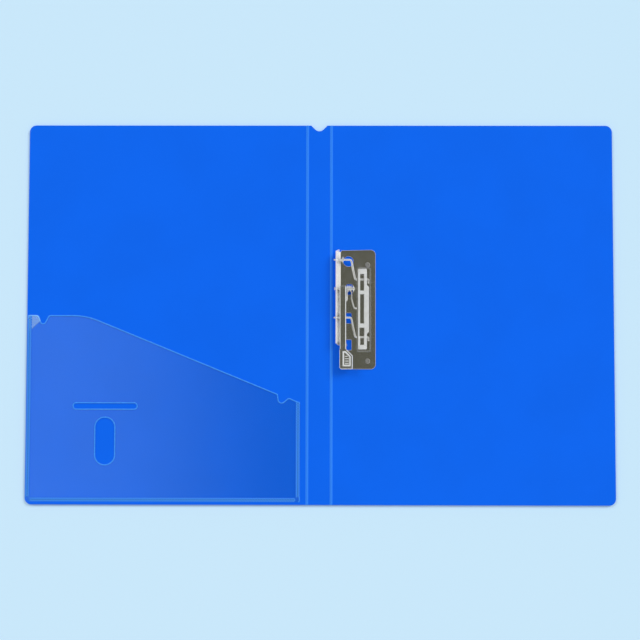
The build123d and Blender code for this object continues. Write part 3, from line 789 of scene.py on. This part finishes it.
class FOLDER_OT_creases(bpy.types.Operator):
    """Adds the two living hinges, whose bead stands on the inside of each fold"""

    bl_idname = "folder.creases"
    bl_label = "Living hinges"

    def execute(self, context):
        colours = context.scene.folder_colours
        sizes = context.scene.folder_sizes
        # Paler crease blue: partly stress whitening of the thinned sheet, partly a painted highlight on the
        # bead
        material = cover_plastic("crease_plastic", colours.crease, 0.4)
        bodies = {"front_cover_fold": ("front_cover", "spine"), "spine_fold": ("spine", "back_cover")}
        for joint, (left, right) in bodies.items():
            piece = self.bead(joint.replace("_fold", "_crease"), CREASES[joint], sizes)
            dress(piece, None, material)
            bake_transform(piece)
        return {"FINISHED"}

    def bead(self, name, x, sizes):
        """A strip along Y. Its top is sheet top + rise cos^2(pi u / 2) for u from -1 to 1 across it, its foot
        fills the groove between the panels, and it wanders a few hundredths of a mm along its length."""
        u = np.linspace(-1, 1, CREASE_COLUMNS)
        top_x = CREASE_BEAD_AT + u * sizes.crease_half
        top_z = COVER_TOP + sizes.crease_rise * np.cos(math.pi * u / 2) ** 2
        sunk = COVER_TOP - CREASE_SUNK
        foot_x = np.array([1, 1, 0, -1, -1]) * CREASE_FOOT_HALF
        foot_z = np.array([sunk, CREASE_FOOT_SIDE, CREASE_FOOT_MIDDLE, CREASE_FOOT_SIDE, sunk])
        profile_x = np.concatenate([top_x, foot_x])
        profile_z = np.concatenate([top_z, foot_z])
        y = np.linspace(-HALF_HEIGHT + CREASE_END_GAP, HALF_HEIGHT - CREASE_END_GAP, CREASE_ROWS)
        wander = sum(size * np.sin(y / run + start) for size, run, start in CREASE_WANDER)
        grid = np.empty((len(y), len(profile_x), 3))
        grid[..., 0] = x + profile_x[None, :] + wander[:, None] * (profile_z > COVER_TOP)[None, :]
        grid[..., 1] = y[:, None]
        grid[..., 2] = profile_z[None, :]
        return surface(name, grid)


def film_level(x, y):
    """Height in mm of the film's upper face at x and y in mm. Along the welds it lies on the sheet. Inside
    them it rises by smoothstep and lies in waves: a sin(x / run + bend sin(y / bend run)), crossed by
    b sin(y / run + x / lean)."""
    inside = np.minimum(np.minimum(x - LEFT_WELD_X, RIGHT_WELD_X - x), y - BOTTOM_WELD_Y)
    free = smoothstep(inside, WELD_HALF, WELD_HALF + FILM_RISE_RUN)
    wave = WAVE_RISE * np.sin(x / WAVE_RUN + WAVE_BEND * np.sin(y / WAVE_BEND_RUN))
    cross_wave = CROSS_WAVE_RISE * np.sin(y / CROSS_WAVE_RUN + x / CROSS_WAVE_LEAN)
    return COVER_TOP / MM + WELDED_FILM + free * (FILM_RISE + (wave + cross_wave))


class FOLDER_OT_film(bpy.types.Operator):
    """Adds the clear film of the pocket and its cut edges, painted bright as a highlight"""

    bl_idname = "folder.film"
    bl_label = "Pocket film"

    def execute(self, context):
        colours = context.scene.folder_colours
        sizes = context.scene.folder_sizes
        free_edge = rounded_path(FREE_EDGE, FREE_EDGE_RADII, run_step=3)
        film = self.film(free_edge)
        thick = film.modifiers.new("Film", "SOLIDIFY")
        thick.thickness = sizes.film_thickness
        thick.offset = -1
        dress(film, "front_cover", film_finish("film", colours.film_lit, colours.film_shaded))
        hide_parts("pocket_sheet")
        finish = film_edge_finish("film_edge", colours.film_edge)
        paths = {
            "pocket_free_edge": (free_edge, False),
            "pocket_corner_edge": (self.corner(), False),
            "card_slot_edge": (self.stadium(CARD_SLOT), True),
            "thumb_window_edge": (self.stadium(THUMB_WINDOW), True),
        }
        for name, (path, closed) in paths.items():
            piece = self.bead(name, path, sizes.edge_bead / MM, closed)
            dress(piece, "front_cover", finish)
        return {"FINISHED"}

    def film(self, free_edge):
        """Three strips stacked up the pocket, which meet along the middle lines of the two slots. Between
        its lower line y0(x) and its upper line y1(x) each strip is y = y0 + (y1 - y0) v, and where a slot is,
        the two strips beside it draw back by half its height, so that it stays open."""
        slot_ends = [place for slot in (CARD_SLOT, THUMB_WINDOW) for place in self.slot_columns(slot)]
        even = np.arange(POCKET_LEFT, POCKET_RIGHT, FILM_COLUMN_STEP)
        corners = [LEFT_CORNER_COLUMNS, RIGHT_CORNER_COLUMNS]
        columns = np.concatenate([even, free_edge[:, 0], *corners, slot_ends])
        columns = np.unique(columns.round(4))
        card = self.slot_half_height(columns, CARD_SLOT)
        thumb = self.slot_half_height(columns, THUMB_WINDOW)
        lines = [
            (self.bottom_line(columns), THUMB_WINDOW[1] - thumb),
            (THUMB_WINDOW[1] + thumb, CARD_SLOT[1] - card),
            (CARD_SLOT[1] + card, np.interp(columns, free_edge[:, 0], free_edge[:, 1])),
        ]
        points = []
        faces = []
        for (low, high), rows in zip(lines, FILM_ROWS):
            v = np.linspace(0, 1, rows)[:, None]
            y = low + (high - low) * v
            x = np.broadcast_to(columns, y.shape)
            grid = np.stack([x, y, film_level(x, y)], -1).reshape(-1, 3)
            corner = np.arange(rows - 1)[:, None] * len(columns) + np.arange(len(columns) - 1)
            corner = corner + sum(len(part) for part in points)
            quads = np.stack([corner, corner + 1, corner + len(columns) + 1, corner + len(columns)], -1)
            points.append(grid)
            faces.append(quads.reshape(-1, 4))
        mesh = bpy.data.meshes.new("pocket_film")
        mesh.from_pydata((np.vstack(points) * MM).tolist(), [], np.vstack(faces).tolist())
        return merged_object("pocket_film", mesh)

    def corner(self):
        """The film's edge round its lower right corner in mm, from the end of one weld to the other."""
        stops = [
            (POCKET_RIGHT, CORNER_EDGE_UP_TO),
            (POCKET_RIGHT, POCKET_BOTTOM),
            (CORNER_EDGE_FROM, POCKET_BOTTOM),
        ]
        return rounded_path(stops, BOTTOM_CORNER_RADII[1:], run_step=0.6)

    def bottom_line(self, x):
        """The film's lower edge in mm: straight, and a quarter circle r - sqrt(r^2 - d^2) at each corner."""
        y = np.full(len(x), POCKET_BOTTOM)
        for radius, inward in zip(BOTTOM_CORNER_RADII, (x - POCKET_LEFT, POCKET_RIGHT - x)):
            depth = np.clip(radius - inward, 0, radius)
            y = y + radius - np.sqrt(radius ** 2 - depth ** 2)
        return y

    def slot_columns(self, slot):
        """Places across a slot, close together at its round ends, with one just outside each straight end."""
        x, _, width, height = slot
        radius = min(width, height) / 2
        turn = np.linspace(0, math.pi / 2, SLOT_END_STEPS)
        ends = width / 2 - radius + radius * np.sin(turn)
        beside = width / 2 + SLOT_BESIDE
        return np.concatenate([x + ends, x - ends, [x + beside, x - beside]])

    def slot_half_height(self, columns, slot):
        """Half the height of a round-ended slot at each column: sqrt(r^2 - d^2) and the straight run, and 0
        beside the slot."""
        x, _, width, height = slot
        radius = min(width, height) / 2
        away = np.abs(columns - x)
        depth = np.clip(away - (width / 2 - radius), 0, radius)
        half = height / 2 - radius + np.sqrt(radius ** 2 - depth ** 2)
        return np.where(away <= width / 2 + SLOT_ROUNDING, half, 0)

    def stadium(self, slot):
        """The closed outline of a round-ended slot in mm: two half circles and the runs between them."""
        x, y, width, height = slot
        radius = min(width, height) / 2
        t = np.linspace(0, 2 * math.pi, SLOT_SIDES, endpoint=False) + math.pi / SLOT_SIDES
        shift_x = np.sign(np.cos(t)) * (width / 2 - radius)
        shift_y = np.sign(np.sin(t)) * (height / 2 - radius)
        return np.stack([x + radius * np.cos(t) + shift_x, y + radius * np.sin(t) + shift_y], -1)

    def bead(self, name, path, width, closed):
        """A half-round bead on the film, along its cut. At angle t it is w/2 (1 + cos t) in from the cut and
        h sin t over the film, and it hangs down on both sides, with a thin lip over the cut."""
        ahead = np.roll(path, -1, 0) - np.roll(path, 1, 0) if closed else np.gradient(path, axis=0)
        across = unit(ahead)[:, ::-1] * (1, -1)
        t = np.linspace(0, math.pi, EDGE_BEAD_STEPS)
        side = (1 + np.concatenate([np.cos(t), [-1, 1]])) * width / 2 - EDGE_BEAD_LIP
        rise = np.concatenate([np.sin(t) * EDGE_BEAD_RISE, [-EDGE_BEAD_DROP, -EDGE_BEAD_DROP]])
        grid = np.empty((len(path), len(side), 3))
        grid[..., :2] = path[:, None, :] + across[:, None, :] * side[None, :, None]
        grid[..., 2] = film_level(path[:, 0], path[:, 1])[:, None] + rise[None, :]
        return surface(name, grid * MM, wrap_rows=closed)


class FOLDER_OT_welds(bpy.types.Operator):
    """Adds the three weld bands that hold the pocket film down"""

    bl_idname = "folder.welds"
    bl_label = "Pocket welds"

    def execute(self, context):
        colours = context.scene.folder_colours
        sizes = context.scene.folder_sizes
        finish = weld_finish("weld", colours.cover, colours.weld)
        bands = {
            "left_weld": ((LEFT_WELD_X, SIDE_WELD_START), (LEFT_WELD_X, LEFT_WELD_END)),
            "right_weld": ((RIGHT_WELD_X, SIDE_WELD_START), (RIGHT_WELD_X, RIGHT_WELD_END)),
            "bottom_weld": ((BOTTOM_WELD_START, BOTTOM_WELD_Y), (BOTTOM_WELD_END, BOTTOM_WELD_Y)),
        }
        for name, (start, end) in bands.items():
            piece = self.band(name, np.array(start), np.array(end), sizes)
            dress(piece, "front_cover", finish)
        return {"FINISHED"}

    def band(self, name, start, end, sizes):
        """A band from start to end in mm, with two strands that cross like a chain. Their middles lie at
        +a cos(pi v / pitch) and -a cos(pi v / pitch), and each is h exp(-(d / s)^2) high at distance d from
        its middle, and a third lower where they cross. Each loop holds a pit of depth h/2 cos^2, which is
        also painted dark as shade. The strands are painted bright as a highlight, most at their turns and
        crossings, by 1/2 - 1/2 cos(pi u / a) cos(2 pi v / pitch)."""
        width = sizes.weld_width / MM
        pitch = sizes.weld_pitch / MM
        rise = sizes.weld_rise / MM
        way = end - start
        length = np.linalg.norm(way)
        way = way / length
        across = np.array([way[1], -way[0]])
        v = np.linspace(0, length, int(length / pitch * WELD_ROWS_PER_LOOP))[:, None]
        u = np.linspace(-0.5, 0.5, WELD_COLUMNS)[None, :] * width
        swing = WELD_SWING * np.cos(math.pi * v / pitch)
        loop = np.cos(math.pi * v / pitch) ** 2
        strands = [np.exp(-(((u - side * swing) / WELD_STRAND) ** 2)) for side in (1, -1)]
        lift = np.maximum(*strands) * (2 + loop) / 3
        # The strands' painted highlight, brightest at their turns and crossings
        turns = 0.5 - 0.5 * np.cos(math.pi * np.clip(u / WELD_SWING, -1, 1)) * np.cos(2 * math.pi * v / pitch)
        shine = np.maximum(*strands) * (WELD_LEAST_SHINE + (1 - WELD_LEAST_SHINE) * turns)
        # The pits: dips in the surface, also painted dark as shade
        pit = loop * np.exp(-((u / WELD_PIT) ** 2))
        edge = smoothstep(width / 2 - np.abs(u), 0, WELD_FADE)
        level = COVER_TOP / MM + WELDED_FILM + WELD_BASE + rise * (lift - 0.5 * pit) * edge
        ground = start + v[..., None] * way + (u + 0 * v)[..., None] * across
        top = np.concatenate([ground, level[..., None]], -1)
        foot = top[:, [-1, 0]].copy()
        foot[..., 2] = COVER_TOP / MM + WELD_FOOT
        blank = np.zeros((len(v), 2))
        values = {
            "weld_shine": np.concatenate([shine, blank], 1),
            "weld_pit_painted_shade": np.concatenate([pit, blank], 1),
        }
        return surface(name, np.concatenate([top, foot], 1) * MM, values=values)


class FOLDER_OT_clip(bpy.types.Operator):
    """Dresses the pressed parts of the clip: base plate, clamp bar and its cap"""

    bl_idname = "folder.clip"
    bl_label = "Plate and clamp bar"

    def execute(self, context):
        colours = context.scene.folder_colours
        edge = context.scene.folder_sizes.edge_round
        # The base plate's leaning flange carries a painted reflection, left of its foot
        flanged = steel_finish("nickel_plate", colours.nickel, PLATE_ROUGHNESS, True, FLANGE_FOOT)
        polished = steel_finish("tray_nickel", colours.nickel, PLATE_ROUGHNESS, True)
        satin = steel_finish("satin_nickel", colours.satin, CAP_ROUGHNESS, True)
        pressed_piece("clip_base_plate", "base_plate", "back_cover", flanged, edge)
        pressed_piece("clamp_bar", "clamp_tray", "clamp_bar", polished, edge / 2)
        pressed_piece("clamp_bar_cap", "clamp_cap", "clamp_bar", satin, edge)
        return {"FINISHED"}


class FOLDER_OT_lever(bpy.types.Operator):
    """Adds the lever: its channel, and the finger pad with its raised line and grip ribs"""

    bl_idname = "folder.lever"
    bl_label = "Lever"

    def execute(self, context):
        colours = context.scene.folder_colours
        edge = context.scene.folder_sizes.edge_round
        polished = steel_finish("lever_nickel", colours.nickel, LEVER_ROUGHNESS, True)
        pressed_piece("lever", "lever_channel", "lever", polished, edge, cut_below=PAD_HIGH - CHANNEL_OVERLAP)
        pad = self.pad()
        wall = pad.modifiers.new("Sheet", "SOLIDIFY")
        wall.thickness = PAD_WALL * MM
        wall.offset = -1
        dress(pad, "lever", polished)
        for i, (y, right) in enumerate(RIBS):
            path = np.linspace((RIB_LEFT, y, PAD_TOP), (right, y, PAD_TOP), 4)
            rib = tube(f"pad_rib_{i + 1}", path, RIB_RADIUS, UP)
            dress(rib, "lever", polished)
        return {"FINISHED"}

    def outline(self, margin):
        """The pad's outline in mm, drawn in by a margin. Its corner between the channel and the right side is
        cut off at 45 degrees."""
        slope = margin * math.tan(math.pi / 8)
        corners = [
            (PAD_LEFT + margin, PAD_LOW + margin),
            (PAD_RIGHT - margin, PAD_LOW + margin),
            (PAD_RIGHT - margin, PAD_HIGH - PAD_CHAMFER - slope),
            (PAD_RIGHT - PAD_CHAMFER - slope, PAD_HIGH - margin),
            (PAD_LEFT + margin, PAD_HIGH - margin),
        ]
        return rounded_loop(corners, np.maximum(PAD_RADII - margin, PAD_LEAST_RADIUS))

    def pad(self):
        """The outline carried inwards. Its height is the skirt, then a quarter round r sin a at margin
        r (1 - cos a), then flat but for a line c cos^2(pi d / w) high at distance d from its middle. The
        line lies a little nearer the upper right corner."""
        a = np.linspace(0, math.pi / 2, PAD_EDGE_STEPS)
        d = np.linspace(-0.5, 0.5, PAD_LINE_STEPS) * PAD_LINE_WIDTH
        foot = PAD_TOP - PAD_EDGE
        margins = np.concatenate([[0], PAD_EDGE * (1 - np.cos(a)), PAD_LINE_AT + d])
        levels = np.concatenate([
            [PAD_TOP - PAD_SKIRT],
            foot + PAD_EDGE * np.sin(a),
            PAD_TOP + PAD_LINE_RISE * np.cos(math.pi * d / PAD_LINE_WIDTH) ** 2])
        loops = np.stack([self.outline(margin) for margin in margins])
        loops[-len(d):] += PAD_LINE_SHIFT
        heights = np.broadcast_to(levels[:, None, None], loops[..., :1].shape)
        return surface("finger_pad", np.concatenate([loops, heights], -1) * MM, open_start=True)


class FOLDER_OT_wires(bpy.types.Operator):
    """Adds the crank wires, the clamp spring, the pivot pin and the rivets"""

    bl_idname = "folder.wires"
    bl_label = "Wires, spring, pin and rivets"

    def execute(self, context):
        colours = context.scene.folder_colours
        wire = steel_finish("plated_wire", colours.wire, WIRE_ROUGHNESS, False)
        for body, y in CRANK_YS.items():
            piece = tube(body + "_arm", self.crank_path(y), WIRE_RADIUS, UP)
            dress(piece, body, wire)
            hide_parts(body + "_wire")
        self.spring(wire)
        pin = turned("headed_pin", PIN_PROFILE, (0, PIVOT_Y, PIVOT_Z), "X")
        dress(pin, "pivot_pin", wire)
        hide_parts("pivot_pin")
        steel = steel_finish("rivet_plate", colours.rivet, RIVET_ROUGHNESS, True)
        for node, (x, y) in RIVET_PLACES.items():
            piece = turned(node + "_head", RIVET_PROFILE, (x, y, 0), "Z")
            dress(piece, "back_cover", steel)
            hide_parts(node)
        return {"FINISHED"}

    def crank_path(self, y):
        """The crank's middle line: along the pivot, over its slanting arm and through the clamp bar."""
        far_y = y - CRANK_REACH
        corners = [
            (CRANK_START_X, y, PIVOT_Z),
            (CRANK_ARM_XS[0], y, PIVOT_Z),
            (CRANK_ARM_XS[1], far_y, BAR_PIVOT_Z),
            (CRANK_END_X, far_y, BAR_PIVOT_Z),
            (CRANK_END_X, far_y - CRANK_HOOK, BAR_PIVOT_Z),
        ]
        return rounded_path(corners, CRANK_RADII, run_step=1.5)

    def spring(self, finish):
        """The torsion spring: its middle line is a short leg, a helix
        (start + pitch s, pivot + R cos a, pivot + R sin a) with a = 90 degrees - 360 s, and a long leg."""
        turns = np.linspace(0, COIL_TURNS, int(COIL_TURNS * COIL_SIDES))
        angle = math.pi / 2 - 2 * math.pi * turns
        coil = np.stack([
            COIL_START_X + COIL_PITCH * turns,
            PIVOT_Y + COIL_RADIUS * np.cos(angle),
            PIVOT_Z + COIL_RADIUS * np.sin(angle)], -1)
        lever_corners = [
            LEVER_LEG_END,
            (COIL_START_X, *LEVER_LEG_END[1:]),
            (COIL_START_X, LEVER_LEG_FROM_Y, coil[0, 2]),
            coil[0],
        ]
        lever_leg = rounded_path(lever_corners, LEVER_LEG_RADII, run_step=0.6)
        bar_y = PIVOT_Y - CRANK_REACH
        bar_corners = [
            coil[-1],
            (coil[-1, 0], BAR_LEG_FROM_Y, coil[-1, 2]),
            (BAR_LEG_XS[0], bar_y, BAR_PIVOT_Z),
            (BAR_LEG_XS[1], bar_y, BAR_PIVOT_Z),
        ]
        bar_leg = rounded_path(bar_corners, BAR_LEG_RADII, run_step=0.6)
        path = np.vstack([lever_leg[:-1], coil, bar_leg[1:]])
        ways = unit(np.gradient(path, axis=0))
        over = ways[:, :1] ** 2
        guide = (1 - over) * np.array([1.0, 0, 0]) + over * UP
        piece = tube("torsion_spring", path, SPRING_RADIUS, guide)
        dress(piece, None, finish)
        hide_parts("clamp_spring")
        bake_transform(piece)


class FOLDER_OT_stage(bpy.types.Operator):
    """Adds the pale floor, the even surround, two soft lamps and the camera"""

    bl_idname = "folder.stage"
    bl_label = "Stage"

    def execute(self, context):
        settings = context.scene.folder_stage
        self.floor(context.scene.folder_colours.floor)
        self.sky(context.scene, context.scene.folder_colours.floor, settings.sky_strength)
        for name, (share, tilt) in LAMPS.items():
            self.lamp(name, settings.sun_strength * share, tilt)
        self.camera(context.scene, settings.focal_length)
        context.scene.view_settings.view_transform = "Standard"
        return {"FINISHED"}

    def floor(self, colour):
        """A wide flat floor just under the folder. Seen from below it is clear, so that the outside shows."""
        signs = [(-1, -1), (1, -1), (1, 1), (-1, 1)]
        corners = [(x * FLOOR_HALF, y * FLOOR_HALF, FLOOR_LEVEL) for x, y in signs]
        mesh = bpy.data.meshes.new("floor")
        mesh.from_pydata(corners, [], [(0, 1, 2, 3)])
        floor = linked("floor", mesh)
        paint = new_paint("floor")
        shadow, camera, length = paint.node(
            "ShaderNodeLightPath", output=("Is Shadow Ray", "Is Camera Ray", "Ray Length"))
        under = paint.node("ShaderNodeNewGeometry", output="Backfacing")
        near = paint.maths("LESS_THAN", length, FLOOR_TOUCH)
        clear = paint.maths("MAXIMUM", paint.maths("MAXIMUM", under, shadow), (1 - camera) * near)
        matt = paint.node("ShaderNodeBsdfDiffuse", {}, {"Color": tuple(colour) + (1,)})
        through = paint.node("ShaderNodeBsdfTransparent")
        mixed = paint.node("ShaderNodeMixShader", {}, {0: clear, 1: matt, 2: through})
        paint.node("ShaderNodeOutputMaterial", {}, {"Surface": mixed})
        mesh.materials.append(paint.owner)

    def sky(self, scene, colour, strength):
        """Even light all round. The view sees the floor's colour, and metal sees pale walls, paler on the
        right, under a dim ceiling."""
        world = bpy.data.worlds.new("studio")
        scene.world = world
        paint = Paint(world)
        camera, glossy, passing = paint.node(
            "ShaderNodeLightPath", output=("Is Camera Ray", "Is Glossy Ray", "Is Transmission Ray"))
        walls = paint.mix(paint.step(paint.axis("X", "Generated"), *WALL_CHANGE), LEFT_WALL, RIGHT_WALL)
        pale = paint.mix(paint.step(paint.axis("Z", "Generated"), *CEILING_FROM), walls, CEILING)
        tone = paint.mix(glossy, (strength,) * 3 + (1,), pale)
        tone = paint.mix(paint.maths("MAXIMUM", camera, passing), tone, tuple(colour) + (1,))
        back = paint.node("ShaderNodeBackground", {}, {"Color": tone, "Strength": 1.0})
        paint.node("ShaderNodeOutputWorld", {}, {"Surface": back})

    def lamp(self, name, strength, tilt):
        """A soft sun from above, tilted in degrees to the left or to the right."""
        data = bpy.data.lights.new(name, "SUN")
        data.energy = strength
        data.angle = math.radians(LAMP_WIDTH)
        lamp = linked(name, data)
        lamp.rotation_euler = (math.radians(LAMP_LEAN), math.radians(tilt), 0)
        lamp.visible_glossy = False

    def camera(self, scene, focal_length):
        """The camera, placed by a perspective fit to the folder's four corners."""
        data = bpy.data.cameras.new("camera")
        data.lens = focal_length
        data.sensor_width = 36
        data.clip_start = 0.01
        camera = linked("camera", data)
        camera.location = CAMERA_PLACE
        camera.rotation_euler = [math.radians(turn) for turn in CAMERA_TURN]
        scene.camera = camera


class FOLDER_PT_panel(bpy.types.Panel):
    """Lists the folder's pieces and the values that they are made from"""

    bl_idname = "FOLDER_PT_panel"
    bl_label = "Clip file folder"
    bl_space_type = "VIEW_3D"
    bl_region_type = "UI"
    bl_category = "Folder"

    def draw(self, context):
        scene = context.scene
        for group in (scene.folder_colours, scene.folder_sizes, scene.folder_stage):
            box = self.layout.box()
            for name in group.__annotations__:
                box.prop(group, name)
        for operator in OPERATORS:
            self.layout.operator(operator.bl_idname)


GROUPS = {"folder_colours": FolderColours, "folder_sizes": FolderSizes, "folder_stage": FolderStage}
OPERATORS = [
    FOLDER_OT_covers,
    FOLDER_OT_creases,
    FOLDER_OT_film,
    FOLDER_OT_welds,
    FOLDER_OT_clip,
    FOLDER_OT_lever,
    FOLDER_OT_wires,
    FOLDER_OT_stage,
]


def register():
    """Registers the settings, the operators and the panel."""
    for kind in [*GROUPS.values(), *OPERATORS, FOLDER_PT_panel]:
        bpy.utils.register_class(kind)
    for name, kind in GROUPS.items():
        setattr(bpy.types.Scene, name, PointerProperty(type=kind))


def unregister():
    """Takes them away again."""
    for name in GROUPS:
        delattr(bpy.types.Scene, name)
    for kind in [FOLDER_PT_panel, *reversed(OPERATORS), *GROUPS.values()]:
        bpy.utils.unregister_class(kind)


def main():
    register()
    bpy.ops.folder.covers()
    bpy.ops.folder.creases()
    bpy.ops.folder.film()
    bpy.ops.folder.welds()
    bpy.ops.folder.clip()
    bpy.ops.folder.lever()
    bpy.ops.folder.wires()
    bpy.ops.folder.stage()


if __name__ == "__main__":
    main()
